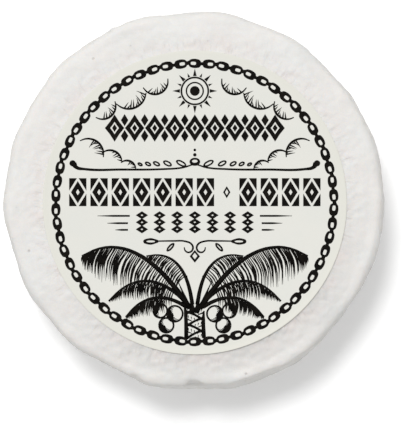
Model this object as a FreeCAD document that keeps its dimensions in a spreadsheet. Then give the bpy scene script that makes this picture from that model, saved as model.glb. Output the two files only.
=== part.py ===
"""Shaving soap puck: a hand-trimmed cake of soap with a round paper label stuck on its top face.

Millimetres. +Z is up, and the origin is the middle of the flat base that the puck rests on.
The cake was cast round and then trimmed by hand, so its plan outline is a ring of slightly
uneven flats, each a straight line at its own distance from the middle, that run into each
other through round corners.
"""

import FreeCAD, Part

import math
import os

import Sketcher

PARTS_FOLDER = "parts"
SHEET = "driving_dimensions"

# Driving dimensions, in millimetres.
DIMENSIONS = {
    "puck_height": 21.0,
    "corner_round": 14.0,
    "shoulder_round": 3.2,
    "base_round": 1.8,
    "label_diameter": 50.0,
    "label_shift_x": 0.12,
    "label_shift_y": -0.42,
    "paper_thickness": 0.12,
    "adhesive_thickness": 0.03,
    "adhesive_inset": 0.15,
}

# The trimmed flats, counter-clockwise: the bearing of each flat's normal from +X, in degrees,
# and the flat's distance from the middle, in millimetres.
FLATS = [
    (8, 31.16),
    (27, 31.07),
    (44, 30.78),
    (70, 30.86),
    (95, 30.82),
    (124, 31.14),
    (148, 31.07),
    (171, 31.07),
    (196, 30.95),
    (220, 30.95),
    (241, 30.86),
    (270, 31.09),
    (294, 31.58),
    (320, 31.05),
    (333, 31.25),
    (353, 31.34),
]


# How a sketch names a line's or an arc's start and end, the middle of a circle, and its origin.
START = 1
END = 2
MIDDLE = 3
ORIGIN = (-1, 1)


def make_sheet(doc):
    """The spreadsheet that drives every size."""
    sheet = doc.addObject("Spreadsheet::Sheet", SHEET)
    rows = dict(DIMENSIONS)
    for number, (bearing, distance) in enumerate(FLATS, 1):
        rows[f"flat_{number}_bearing"] = bearing
        rows[f"flat_{number}_distance"] = distance
    for row, (alias, value) in enumerate(rows.items(), 1):
        sheet.set(f"A{row}", alias)
        sheet.set(f"B{row}", str(value))
        sheet.setAlias(f"B{row}", alias)
    doc.recompute()
    return sheet


def cell(alias):
    """An expression that reads one cell of the sheet."""
    return f"{SHEET}.{alias}"


def new_body(doc, label):
    body = doc.addObject("PartDesign::Body", label)
    body.Label = label
    return body


def sketch_on_base_plane(body, name):
    """An empty sketch on the body's own XY plane."""
    sketch = body.newObject("Sketcher::SketchObject", name)
    plane = next(f for f in body.Origin.OriginFeatures if f.Role == "XY_Plane")
    sketch.AttachmentSupport = (plane, [""])
    sketch.MapMode = "FlatFace"
    return sketch


def normal_at(bearing):
    """The unit vector that points along a bearing in degrees."""
    turn = math.radians(bearing)
    return FreeCAD.Vector(math.cos(turn), math.sin(turn), 0)


def crossing(first, second, inset):
    """Where two flats cross once both have moved inwards by inset."""
    (bearing_a, distance_a), (bearing_b, distance_b) = first, second
    normal_a, normal_b = normal_at(bearing_a), normal_at(bearing_b)
    reach_a, reach_b = distance_a - inset, distance_b - inset
    cross = normal_a.x * normal_b.y - normal_a.y * normal_b.x
    return FreeCAD.Vector(
        (reach_a * normal_b.y - reach_b * normal_a.y) / cross,
        (reach_b * normal_a.x - reach_a * normal_b.x) / cross,
        0,
    )


def add_flats_and_corners(sketch):
    """The outline's geometry: one line per flat, and one arc from each flat to the next."""
    round_radius = DIMENSIONS["corner_round"]
    following = FLATS[1:] + FLATS[:1]
    centres = [crossing(flat, after, round_radius) for flat, after in zip(FLATS, following)]
    lines = []
    arcs = []
    for i, (bearing, _) in enumerate(FLATS):
        touch = normal_at(bearing) * round_radius
        flat = Part.LineSegment(centres[i - 1] + touch, centres[i] + touch)
        lines.append(sketch.addGeometry(flat, False))
    for centre, (bearing, _), (next_bearing, _) in zip(centres, FLATS, following):
        circle = Part.Circle(centre, FreeCAD.Vector(0, 0, 1), round_radius)
        corner = Part.ArcOfCircle(circle, math.radians(bearing), math.radians(next_bearing))
        arcs.append(sketch.addGeometry(corner, False))
    return lines, arcs


def bind(sketch, name, constraint, expression):
    """Adds a dimension to the sketch under a name, and lets the sheet drive it."""
    sketch.renameConstraint(sketch.addConstraint(constraint), name)
    sketch.setExpression(f"Constraints.{name}", expression)


def bind_flat(sketch, line, number, bearing, distance):
    """Holds one flat at its bearing and at its distance from the middle."""
    reach = Sketcher.Constraint("Distance", *ORIGIN, line, distance)
    bind(sketch, f"distance_{number}", reach, cell(f"flat_{number}_distance"))
    lean = Sketcher.Constraint("Angle", line, math.radians(bearing + 90))
    turned = f"({cell(f'flat_{number}_bearing')} + 90) * 1 deg"
    bind(sketch, f"bearing_{number}", lean, turned)


def draw_trimmed_outline(sketch):
    """The flats and the round corners between them, each flat bound to its own two cells."""
    lines, arcs = add_flats_and_corners(sketch)
    for line, arc, next_line in zip(lines, arcs, lines[1:] + lines[:1]):
        sketch.addConstraint(Sketcher.Constraint("Tangent", line, END, arc, START))
        sketch.addConstraint(Sketcher.Constraint("Tangent", arc, END, next_line, START))
    corner_round = Sketcher.Constraint("Radius", arcs[0], DIMENSIONS["corner_round"])
    bind(sketch, "corner_round", corner_round, cell("corner_round"))
    for arc in arcs[1:]:
        sketch.addConstraint(Sketcher.Constraint("Equal", arcs[0], arc))
    for number, (line, (bearing, distance)) in enumerate(zip(lines, FLATS), 1):
        bind_flat(sketch, line, number, bearing, distance)


def edges_at_height(shape, height):
    """The names of the edges that lie wholly in the plane z = height."""
    tolerance = 1e-6
    return [
        f"Edge{i}"
        for i, edge in enumerate(shape.Edges, 1)
        if all(abs(z - height) < tolerance for z in (edge.BoundBox.ZMin, edge.BoundBox.ZMax))
    ]


def round_edges(doc, body, base, height, name, alias):
    """A fillet on the rim that the base feature has at that height."""
    doc.recompute()
    fillet = body.newObject("PartDesign::Fillet", name)
    fillet.Base = (base, edges_at_height(base.Shape, height))
    fillet.setExpression("Radius", cell(alias))
    return fillet


def make_soap_puck(doc):
    """The cake: the trimmed outline raised to full height, its shoulder and base edge worn round."""
    body = new_body(doc, "soap_puck")
    outline = sketch_on_base_plane(body, "trimmed_outline")
    draw_trimmed_outline(outline)
    block = body.newObject("PartDesign::Pad", "soap_block")
    block.Profile = outline
    block.setExpression("Length", cell("puck_height"))
    shoulder = round_edges(doc, body, block, DIMENSIONS["puck_height"], "shoulder", "shoulder_round")
    round_edges(doc, body, shoulder, 0.0, "base_edge", "base_round")
    return body


def make_disc(doc, label, diameter, thickness, height):
    """A thin round layer of the label. The diameter, thickness and height are expressions."""
    body = new_body(doc, label)
    outline = sketch_on_base_plane(body, f"{label}_outline")
    up = FreeCAD.Vector(0, 0, 1)
    circle = Part.Circle(FreeCAD.Vector(), up, DIMENSIONS["label_diameter"] / 2)
    rim = outline.addGeometry(circle, False)
    outline.addConstraint(Sketcher.Constraint("Coincident", rim, MIDDLE, *ORIGIN))
    across = Sketcher.Constraint("Diameter", rim, DIMENSIONS["label_diameter"])
    bind(outline, "across", across, diameter)
    layer = body.newObject("PartDesign::Pad", f"{label}_layer")
    layer.Profile = outline
    layer.setExpression("Length", thickness)
    body.setExpression("Placement.Base.x", cell("label_shift_x"))
    body.setExpression("Placement.Base.y", cell("label_shift_y"))
    body.setExpression("Placement.Base.z", height)
    return body


def make_label_adhesive(doc):
    """The sticky layer, a little short of the label's edge all round."""
    diameter = f"{cell('label_diameter')} - 2 * {cell('adhesive_inset')}"
    thickness = cell("adhesive_thickness")
    return make_disc(doc, "label_adhesive", diameter, thickness, cell("puck_height"))


def make_label_paper(doc):
    """The die-cut paper disc, on top of the adhesive."""
    height = f"{cell('puck_height')} + {cell('adhesive_thickness')}"
    thickness = cell("paper_thickness")
    return make_disc(doc, "label_paper", cell("label_diameter"), thickness, height)


def check(doc, pieces):
    """Stops on any failed feature, and on any piece that isn't one valid closed solid."""
    for item in doc.Objects:
        if "Invalid" in item.State or "Error" in item.State:
            raise RuntimeError(f"{item.Name} failed: {item.State}")
    for piece in pieces:
        shape = piece.Shape
        if shape.isNull() or not shape.isValid() or len(shape.Solids) != 1:
            raise RuntimeError(f"{piece.Label} is not one valid solid")


def main():
    doc = FreeCAD.newDocument("shaving_soap_puck")
    make_sheet(doc)
    pieces = [make_soap_puck(doc), make_label_adhesive(doc), make_label_paper(doc)]
    doc.recompute()
    check(doc, pieces)
    os.makedirs(PARTS_FOLDER, exist_ok=True)
    for piece in pieces:
        piece.Shape.exportStep(os.path.join(PARTS_FOLDER, f"{piece.Label}.step"))
        box = piece.Shape.BoundBox
        print(
            f"{piece.Label}: {piece.Shape.Volume / 1000:.3f} cm3,"
            f" x {box.XMin:.3f} to {box.XMax:.3f}, y {box.YMin:.3f} to {box.YMax:.3f},"
            f" z {box.ZMin:.3f} to {box.ZMax:.3f}"
        )


main()
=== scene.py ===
# %% [markdown]
# # A shaving soap puck with a printed paper label
#
# The real object is a cake of hard white soap, cast round and then trimmed by hand with a
# knife, with a round paper label stuck on its top face. The CAD frame already holds the three
# physical pieces at their real size: the soap, the adhesive and the paper. This lesson gives
# them their looks. The soap gets knife facets, crumbly pits and a waxy finish, the paper gets
# a die-cut edge that lifts a little, and the print is laid on the paper as thin ink.

# %% Load the fixed frame
import math
import random

import bpy
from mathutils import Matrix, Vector


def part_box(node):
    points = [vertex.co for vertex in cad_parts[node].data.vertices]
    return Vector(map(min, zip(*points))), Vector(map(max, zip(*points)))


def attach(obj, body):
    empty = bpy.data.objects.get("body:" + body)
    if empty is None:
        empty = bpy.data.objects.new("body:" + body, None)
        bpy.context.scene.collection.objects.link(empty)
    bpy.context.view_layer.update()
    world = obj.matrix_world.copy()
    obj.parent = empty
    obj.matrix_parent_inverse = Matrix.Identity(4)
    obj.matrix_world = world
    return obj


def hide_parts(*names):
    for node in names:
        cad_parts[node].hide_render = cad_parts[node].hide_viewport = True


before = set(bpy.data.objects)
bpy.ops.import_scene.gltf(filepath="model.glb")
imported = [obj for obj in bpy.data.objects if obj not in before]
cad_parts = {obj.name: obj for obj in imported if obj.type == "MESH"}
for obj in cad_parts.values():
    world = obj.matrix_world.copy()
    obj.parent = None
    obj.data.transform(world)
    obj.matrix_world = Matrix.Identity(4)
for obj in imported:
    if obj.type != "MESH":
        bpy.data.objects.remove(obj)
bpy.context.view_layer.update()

# %% [markdown]
# ## Units and places
#
# Blender works in metres, and a soap puck is easier to think about in millimetres, so every
# size below is in millimetres and is multiplied by MM where Blender needs it. Places come
# from the frame: the middle of the label, the top of the paper and the top of the soap.

# %% Read the driving places from the frame
MM = 0.001

soap_low, soap_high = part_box("soap_puck")
paper_low, paper_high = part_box("label_paper")

SOAP_HEIGHT = soap_high.z / MM
LABEL_X = (paper_low.x + paper_high.x) / 2 / MM
LABEL_Y = (paper_low.y + paper_high.y) / 2 / MM
LABEL_RADIUS = (paper_high.x - paper_low.x) / 2 / MM
PAPER_BOTTOM = paper_low.z / MM
PAPER_TOP = paper_high.z / MM

print(f"soap {SOAP_HEIGHT:.2f} mm tall, label radius {LABEL_RADIUS:.2f} mm")
print(f"label centred on ({LABEL_X:.2f}, {LABEL_Y:.2f}), paper top at {PAPER_TOP:.2f} mm")

# %% [markdown]
# ## Small helpers for working as by hand
#
# An operator acts on whatever is selected, so each step starts by deselecting everything and
# picking one piece. Faces and vertices are then chosen by their place, which stays true when
# the mesh changes, where an index wouldn't.

# %% Selecting, and going in and out of edit mode
def pick_nothing():
    bpy.ops.object.select_all(action="DESELECT")


def pick(piece):
    """Makes one piece the only selected and active one."""
    pick_nothing()
    piece.select_set(True)
    bpy.context.view_layer.objects.active = piece


def edit(piece, select="SELECT"):
    """Opens a piece in edit mode, with all of its mesh selected or none of it."""
    pick(piece)
    bpy.ops.object.mode_set(mode="EDIT")
    bpy.ops.mesh.select_mode(type="VERT")
    bpy.ops.mesh.select_all(action=select)


def leave_edit():
    bpy.ops.object.mode_set(mode="OBJECT")


def select_where(piece, chosen):
    """In a piece that is open in edit mode, selects the vertices whose place passes the test."""
    leave_edit()
    for vertex in piece.data.vertices:
        vertex.select = chosen(vertex.co / MM)
    bpy.ops.object.mode_set(mode="EDIT")
    bpy.ops.mesh.select_mode(type="VERT")


def apply_modifier(piece, kind, **settings):
    """Adds one modifier with its settings and applies it at once."""
    pick(piece)
    modifier = piece.modifiers.new(kind.lower(), kind)
    for name, value in settings.items():
        setattr(modifier, name, value)
    bpy.ops.object.modifier_apply(modifier=modifier.name)


def size_in_mm(piece):
    """A piece's width, depth and height in millimetres, for printing."""
    return [round(side / MM, 2) for side in piece.dimensions]


def join(name, pieces):
    """Joins several pieces into the first one and names it."""
    pick_nothing()
    for piece in pieces:
        piece.select_set(True)
    bpy.context.view_layer.objects.active = pieces[0]
    if len(pieces) > 1:
        bpy.ops.object.join()
    pieces[0].name = name
    pieces[0].data.name = name
    return pieces[0]

# %% [markdown]
# ## The soap's shape
#
# The CAD solid has the right size but is too clean, and its mesh is loose triangles. The work
# starts from a copy, so that the CAD node itself stays as it is. Its loose triangles are
# merged first, so that a cut or a smoothing step sees one closed skin.

# %% Copy the CAD mesh and merge its loose triangles
def merged_copy(node, name):
    """A copy of a CAD node's mesh as a new piece, with its loose triangles joined up."""
    piece = bpy.data.objects.new(name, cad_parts[node].data.copy())
    piece.data.name = name
    piece.data.materials.clear()
    bpy.context.scene.collection.objects.link(piece)
    edit(piece)
    bpy.ops.mesh.remove_doubles(threshold=1e-6)
    leave_edit()
    return piece


soap = merged_copy("soap_puck", "soap_cake")
print("the merged copy has", len(soap.data.vertices), "vertices")

# %% [markdown]
# ## The knife's cuts
#
# The soap maker trims the cake by hand, so its side is a round of flat slices, and each slice
# leans a little: the puck is narrower at its top than at its base. Scaling or sculpting would
# round these slices off. Bisect makes each in one step, because it cuts along a plane, throws
# the outer side away and closes the hole.

# %% Trim it with the knife
# Each cut: its bearing in degrees, and its distance from the middle at the base and at the top.
KNIFE_CUTS = [
    (8, 31.5, 31.2),
    (44, 31.1, 30.95),
    (72, 31.2, 30.95),
    (92, 31.2, 30.9),
    (111, 31.4, 31.2),
    (124, 31.4, 31.1),
    (152, 31.3, 31.0),
    (180, 31.5, 31.25),
    (196, 31.3, 31.0),
    (218, 31.8, 31.6),
    (243, 31.0, 30.7),
    (272, 31.9, 30.4),
    (289, 31.9, 30.5),
    (304, 32.0, 30.9),
    (326, 31.3, 30.9),
    (348, 31.6, 31.25),
]


def knife_cut(piece, bearing, at_base, at_top):
    """Slices off what lies outside a plane that leans from at_base to at_top."""
    turn = math.radians(bearing)
    outwards = Vector((math.cos(turn), math.sin(turn), 0))
    lean = (at_base - at_top) / SOAP_HEIGHT
    edit(piece)
    bpy.ops.mesh.bisect(
        plane_co=outwards * at_base * MM,
        plane_no=(outwards + Vector((0, 0, lean))).normalized(),
        use_fill=True,
        clear_outer=True,
    )
    leave_edit()


for cut in KNIFE_CUTS:
    knife_cut(soap, *cut)
print("after", len(KNIFE_CUTS), "cuts the soap is", size_in_mm(soap), "mm")

# %% [markdown]
# ## An even skin
#
# The cut copy has a few huge faces, and pits and bumps need vertices to move. Subdividing long
# triangles would give long thin ones, so the soap is remeshed into even squares, a third of a
# millimetre wide. That is about the size of the smallest pit worth modelling; anything finer
# is left to the material. A few rounds of smoothing take off the steps that voxels leave.

# %% Give it an even skin
SKIN = 0.36
SMOOTHING_ROUNDS = 6

apply_modifier(soap, "REMESH", mode="VOXEL", voxel_size=SKIN * MM, use_smooth_shade=True)
apply_modifier(soap, "SMOOTH", factor=0.5, iterations=SMOOTHING_ROUNDS)
print("the remeshed soap has", len(soap.data.polygons), "faces")

# %% [markdown]
# ## Where the soap is rough
#
# The cast top face is crumbly, most of all beside the label, where the surface tore a little
# as the label was pressed on. The trimmed flanks are smoother and carry long shallow knife
# marks. The side that is handled most has sunk at its rim and spreads at its foot, and the
# knife left the outer shoulder crisper than the mould did. Vertex groups say how strongly
# each zone moves: 0 leaves a vertex alone, and 1 moves it fully. Weights could be painted by
# brush, but a rule on each vertex's place gives the same result on every run. Nothing under
# the label or on the base may move.

# %% Weigh the zones
RIM_WIDTH = 6.5


def smooth_step(low, high, value):
    """0 below low, 1 above high, and an even S between them."""
    share = min(max((value - low) / (high - low), 0), 1)
    return share * share * (3 - 2 * share)


def from_label(place):
    """The distance from the middle of the label, seen from above, in millimetres."""
    return math.hypot(place.x - LABEL_X, place.y - LABEL_Y)


def side_share(place, middle, near, far):
    """1 within near degrees of a bearing, falling to 0 at far degrees from it."""
    bearing = math.degrees(math.atan2(place.y, place.x))
    return 1 - smooth_step(near, far, abs((bearing - middle + 180) % 360 - 180))


def crumb_weight(place):
    """Strong on the top face close to the label, fading out over the shoulder."""
    on_top = smooth_step(SOAP_HEIGHT - 1.6, SOAP_HEIGHT - 0.2, place.z)
    clear_of_label = smooth_step(LABEL_RADIUS - 0.3, LABEL_RADIUS + 0.5, from_label(place))
    near_label = 1 - 0.65 * smooth_step(LABEL_RADIUS + 0.8, LABEL_RADIUS + 4, from_label(place))
    worn_side = 0.6 + 0.4 * side_share(place, 278, 30, 60)
    return on_top * clear_of_label * near_label * worn_side


def lump_weight(place):
    """Everywhere but the base and what the label covers."""
    off_base = smooth_step(0.3, 2.5, place.z)
    return off_base * smooth_step(LABEL_RADIUS - 0.2, LABEL_RADIUS + 2.5, from_label(place))


def flank_weight(place):
    """The trimmed sides only."""
    above_foot = smooth_step(0.5, 3, place.z)
    below_shoulder = 1 - smooth_step(SOAP_HEIGHT - 4, SOAP_HEIGHT - 1.5, place.z)
    return above_foot * below_shoulder


def rim_drop_weight(place):
    """How far the top sinks towards its rim: a little all round, and most at one side."""
    outwards = min(max((from_label(place) - LABEL_RADIUS) / RIM_WIDTH, 0), 1)
    upper_part = smooth_step(6, SOAP_HEIGHT - 1, place.z)
    worn_side = 0.1 + 0.9 * side_share(place, 285, 10, 85)
    return outwards * upper_part * worn_side


def foot_weight(place):
    """The foot of the side that sinks, which spreads a little."""
    off_base = smooth_step(0.3, 2, place.z)
    low_down = 1 - smooth_step(4, 17, place.z)
    return off_base * low_down * side_share(place, 283, 16, 34)


def shoulder_weight(place):
    """The outer part of the rounded shoulder, which the knife left crisper than the mould did."""
    reach = math.hypot(place.x, place.y)
    return smooth_step(28.6, 31.4, reach) * smooth_step(8, SOAP_HEIGHT - 2.5, place.z)


def weigh(piece, name, weight):
    """Adds a vertex group whose weights come from each vertex's place."""
    group = piece.vertex_groups.new(name=name)
    for vertex in piece.data.vertices:
        strength = weight(vertex.co / MM)
        if strength > 0:
            group.add([vertex.index], strength, "REPLACE")


ZONES = {
    "crumbs": crumb_weight,
    "lumps": lump_weight,
    "flanks": flank_weight,
    "rim_drop": rim_drop_weight,
    "shoulder": shoulder_weight,
    "foot": foot_weight,
}
for zone, weight in ZONES.items():
    weigh(soap, zone, weight)
print("zones:", [group.name for group in soap.vertex_groups])

# %% [markdown]
# ## Lumps, crumbs and knife marks
#
# A Displace modifier pushes each vertex by a texture's brightness. Three plain pushes with no
# texture come first: the top sinks towards its worn rim, the outer shoulder rises to a crisper
# edge, and the foot of the worn side spreads. Then cloud textures do the rest: broad lumps
# from the hand trimming, smaller lumps, crumbs of about a millimetre beside the label, and
# shallow dents on the flanks. Sculpting would look as good, but a texture of known size gives
# lumps of known size. Each modifier is applied at once, so the finished mesh holds the shape.

# %% Displace the skin
RIM_DROP = 1.1
SHOULDER_RISE = 1.08
FOOT_SPREAD = 0.4

# Each texture: its name, the size of its grain in mm, how many finer layers it has, its
# contrast, its zone, how far it moves the skin in mm, and the brightness that moves nothing.
SKIN_TEXTURES = [
    ("trimming_lumps", 6.0, 1, 1.0, "lumps", 0.3, 0.5),
    ("small_lumps", 2.2, 2, 1.0, "lumps", 0.2, 0.5),
    ("cast_crumbs", 0.8, 2, 1.6, "crumbs", 0.42, 0.75),
    ("flank_dents", 1.7, 2, 1.3, "flanks", 0.17, 0.5),
]


def cloud_texture(name, size, depth, contrast):
    texture = bpy.data.textures.new(name, "CLOUDS")
    texture.noise_scale = size * MM
    texture.noise_depth = depth
    texture.contrast = contrast
    return texture


def displace(piece, texture, zone, strength, middle=0, direction="NORMAL"):
    """Moves a zone by up to strength millimetres. A brightness of middle moves nothing."""
    apply_modifier(
        piece,
        "DISPLACE",
        texture=texture,
        texture_coords="LOCAL",
        direction=direction,
        strength=strength * MM,
        mid_level=middle,
        vertex_group=zone,
    )


displace(soap, None, "rim_drop", -RIM_DROP, direction="Z")
displace(soap, None, "shoulder", SHOULDER_RISE, direction="Z")
displace(soap, None, "foot", FOOT_SPREAD)
for name, size, depth, contrast, zone, strength, middle in SKIN_TEXTURES:
    displace(soap, cloud_texture(name, size, depth, contrast), zone, strength, middle)
print("soap, after displacing:", size_in_mm(soap), "mm")

# %% [markdown]
# ## Chips and pits
#
# A few single marks are placed one by one: a notch in the lower shoulder and some small pits.
# Each is a proportional edit: the vertices nearest to a place are pushed straight into the
# soap, and their neighbours follow less and less, which leaves a round dent.

# %% Press single dents into the soap
# Each dent: bearing in degrees, distance from the middle, height, size and depth, all in mm.
DENTS = [
    (269.8, 31.1, 19.2, 1.5, 0.33),
    (252, 31.0, 19.2, 1.4, 0.2),
    (247, 28.4, 21.0, 1.4, 0.14),
    (266, 27.2, 21.0, 1.3, 0.14),
    (30, 31.2, 9.0, 1.6, 0.4),
    (118, 31.3, 13.0, 1.4, 0.3),
    (176, 31.1, 6.5, 1.8, 0.4),
    (251, 31.0, 11.0, 1.5, 0.3),
    (322, 31.0, 7.0, 1.6, 0.4),
]


def press_dent(piece, bearing, reach, height, size, depth):
    """Pushes the skin inwards around one place, with a soft round edge."""
    turn = math.radians(bearing)
    place = Vector((reach * math.cos(turn), reach * math.sin(turn), height))
    nearest = min((vertex.co / MM - place).length for vertex in piece.data.vertices)
    spot = nearest + SKIN
    select_where(piece, lambda at: (at - place).length < spot)
    side = 1 - smooth_step(SOAP_HEIGHT - 3, SOAP_HEIGHT - 0.5, height)
    inwards = Vector((-math.cos(turn) * side, -math.sin(turn) * side, side - 1)).normalized()
    bpy.ops.transform.translate(
        value=inwards * depth * MM,
        use_proportional_edit=True,
        proportional_edit_falloff="SMOOTH",
        proportional_size=size * MM,
    )
    leave_edit()


for dent in DENTS:
    press_dent(soap, *dent)
soap.data.shade_smooth()
print("pressed", len(DENTS), "dents")

# %% [markdown]
# ## The paper label
#
# The paper is punched from a sheet with a round die. It starts as a filled circle, which is
# extruded to the paper's thickness. The punch rounds the upper edge over, so that edge gets
# a tiny bevel. Outside the printed border nothing holds the paper's edge down but a thin
# line of glue, so the rim is lifted a little along one long stretch, and less along two more.

# %% Punch the label and lift a stretch of its rim
PLAIN_RIM = 24.0
RIM_RINGS = 3
RIM_BEVEL = 0.03

# The bend would reach its full lift this far past the paper's edge, in mm, so the edge itself
# stands up by about two thirds of that lift.
BEND_PAST_EDGE = 0.6

# Each lifted stretch: its bearing and half width in degrees, and its full lift in mm.
RIM_LIFTS = [(300, 75, 0.3), (45, 40, 0.1), (190, 45, 0.12)]


def rim_lift(bearing):
    """The full lift of the bend at a bearing, in millimetres."""
    lift = 0
    for middle, half_width, height in RIM_LIFTS:
        away = abs((bearing - middle + 180) % 360 - 180)
        lift += height * (1 - smooth_step(0, half_width, away))
    return lift


def punch_label():
    """The paper disc, with rings of vertices that let its rim bend."""
    pick_nothing()
    bpy.ops.mesh.primitive_circle_add(
        vertices=240,
        radius=LABEL_RADIUS * MM,
        fill_type="NGON",
        location=(LABEL_X * MM, LABEL_Y * MM, PAPER_BOTTOM * MM),
    )
    label = bpy.context.object
    label.name = "label_face_paper"
    bpy.ops.object.transform_apply(location=True)
    edit(label)
    for _ in range(RIM_RINGS):
        bpy.ops.mesh.inset(thickness=(LABEL_RADIUS - PLAIN_RIM) / RIM_RINGS * MM)
    bpy.ops.mesh.select_all(action="SELECT")
    thickness = (PAPER_TOP - PAPER_BOTTOM) * MM
    bpy.ops.mesh.extrude_region_move(TRANSFORM_OT_translate={"value": (0, 0, thickness)})
    bpy.ops.mesh.select_all(action="SELECT")
    bpy.ops.mesh.normals_make_consistent(inside=False)
    leave_edit()
    return label


def lift_rim(label):
    """Raises the unprinted rim where the glue has let go."""
    for vertex in label.data.vertices:
        place = vertex.co / MM
        bearing = math.degrees(math.atan2(place.y - LABEL_Y, place.x - LABEL_X))
        bend = smooth_step(PLAIN_RIM, LABEL_RADIUS + BEND_PAST_EDGE, from_label(place))
        vertex.co.z += rim_lift(bearing) * bend * MM


paper = punch_label()
lift_rim(paper)
apply_modifier(paper, "BEVEL", width=RIM_BEVEL * MM, segments=2, limit_method="ANGLE")
pick(paper)
bpy.ops.object.shade_smooth_by_angle(angle=math.radians(30))
print("paper:", len(paper.data.polygons), "faces")

# %% [markdown]
# ## Drawing with ink
#
# Printing ink lies on the paper as a film a few hundredths of a millimetre thick. Two tools
# draw all of it. A pen line is a Bezier curve with a round bevel, and each of its points has
# a radius, so it swells and tapers like an engraver's line. A filled shape is a flat curve
# whose closed outlines are filled, and an outline inside another one leaves a hole. Both are
# turned into meshes and pressed down to the ink's thickness. All drawing is done in
# millimetres from the middle of the label, X to the right and Y up.

# %% The pen and the filled shape
INK_HEIGHT = 0.02
PEN_WIDTH = 0.3


def new_curve(name):
    """An empty flat curve to draw on."""
    pick_nothing()
    bpy.ops.curve.primitive_bezier_circle_add(radius=MM, location=(0, 0, 0))
    drawing = bpy.context.object
    drawing.name = name
    drawing.data.dimensions = "2D"
    drawing.data.splines.clear()
    return drawing


def add_spline(drawing, points, kind, closed=False):
    """Adds one line through points of (x, y) or (x, y, width).

    Kind is AUTO for a smooth line and VECTOR for a straight one.
    """
    spline = drawing.data.splines.new("BEZIER")
    spline.use_cyclic_u = closed
    spline.bezier_points.add(len(points) - 1)
    for knot, (x, y, *width) in zip(spline.bezier_points, points):
        knot.co = ((LABEL_X + x) * MM, (LABEL_Y + y) * MM, 0)
        knot.handle_left_type = kind
        knot.handle_right_type = kind
        knot.radius = width[0] / PEN_WIDTH if width else 1


def press(drawing, height):
    """Turns a drawing into a mesh of that height, standing on the paper."""
    pick(drawing)
    bpy.ops.object.convert(target="MESH")
    print_piece = bpy.context.object
    tall = max(print_piece.dimensions.z, 1e-9)
    edit(print_piece)
    bpy.ops.mesh.remove_doubles(threshold=1e-7)
    bpy.ops.mesh.normals_make_consistent(inside=False)
    bpy.ops.transform.resize(value=(1, 1, height * MM / tall), center_override=(0, 0, 0))
    bpy.ops.transform.translate(value=(0, 0, PAPER_TOP * MM))
    leave_edit()
    return print_piece


def pen_lines(name, strokes, smoothness=5):
    """Drawn lines that thin and swell: each stroke is a list of (x, y, width)."""
    drawing = new_curve(name)
    drawing.data.fill_mode = "NONE"
    drawing.data.bevel_depth = PEN_WIDTH * MM / 2
    drawing.data.bevel_resolution = 0
    drawing.data.resolution_u = smoothness
    drawing.data.use_fill_caps = True
    for stroke in strokes:
        add_spline(drawing, stroke, "AUTO")
    return press(drawing, 2 * INK_HEIGHT)


def filled_shape(name, outlines, kind="AUTO", smoothness=6):
    """A solid shape from closed outlines. An outline inside another one is a hole."""
    drawing = new_curve(name)
    drawing.data.fill_mode = "BOTH"
    drawing.data.extrude = INK_HEIGHT * MM
    drawing.data.resolution_u = smoothness
    for outline in outlines:
        add_spline(drawing, outline, kind, closed=True)
    return press(drawing, 2 * INK_HEIGHT)


def oval(x, y, half_width, half_height, turn=0.0, points=8):
    """The outline of an oval, turned by an angle in degrees."""
    cos, sin = math.cos(math.radians(turn)), math.sin(math.radians(turn))
    outline = []
    for i in range(points):
        angle = 2 * math.pi * i / points
        across, up = half_width * math.cos(angle), half_height * math.sin(angle)
        outline.append((x + across * cos - up * sin, y + across * sin + up * cos))
    return outline


def mirrored(points):
    """The same points on the other side of the label's upright middle line."""
    return [(-x, *rest) for x, *rest in points]

# %% [markdown]
# ## The chain border
#
# A chain runs round the label near its edge. One link is drawn as an oval ring whose hole
# sits off centre, so one half looks heavy, as an engraver shades it. Two links that mirror
# each other make a pair, joined by short necks, and Spin with duplicates sets that pair
# round the whole label.

# %% Draw two links and spin them round the label
CHAIN_RADIUS = 22.85
LINK_PAIRS = 31
LINK_LENGTH = 2.1
LINK_WIDTH = 1.44
LINK_HOLE_LENGTH = 0.86
LINK_HOLE_WIDTH = 0.48
LINK_HOLE_SHIFT = 0.24


def rounded_box(x, y, half_width, half_height, corner):
    """The outline of a box with round corners, clockwise from its upper left."""
    inner_x, inner_y = half_width - corner, half_height - corner
    rounding = corner * 0.3
    outline = []
    for side_x, side_y in ((-1, 1), (1, 1), (1, -1), (-1, -1)):
        near = (x + side_x * inner_x, y + side_y * half_height)
        tip = (x + side_x * (half_width - rounding), y + side_y * (half_height - rounding))
        far = (x + side_x * half_width, y + side_y * inner_y)
        outline += [near, tip, far] if side_x == side_y else [far, tip, near]
    return outline


def link(y, heavy_up):
    """One link along Y: its outline, and a hole pushed away from its heavy half."""
    shift = -LINK_HOLE_SHIFT if heavy_up else LINK_HOLE_SHIFT
    ring = rounded_box(-CHAIN_RADIUS, y, LINK_WIDTH / 2, LINK_LENGTH / 2, 0.62)
    hole_size = (LINK_HOLE_WIDTH / 2, LINK_HOLE_LENGTH / 2, 0.16)
    hole = rounded_box(-CHAIN_RADIUS, y + shift, *hole_size)
    return [ring, hole]


def spin_copies(motif, count, centre_y=0.0):
    """Sets a motif round a centre, count times in all, with Spin's duplicates."""
    edit(motif)
    bpy.ops.mesh.spin(
        steps=count - 1,
        dupli=True,
        angle=2 * math.pi * (count - 1) / count,
        center=(LABEL_X * MM, (LABEL_Y + centre_y) * MM, PAPER_TOP * MM),
        axis=(0, 0, 1),
    )
    leave_edit()


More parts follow.
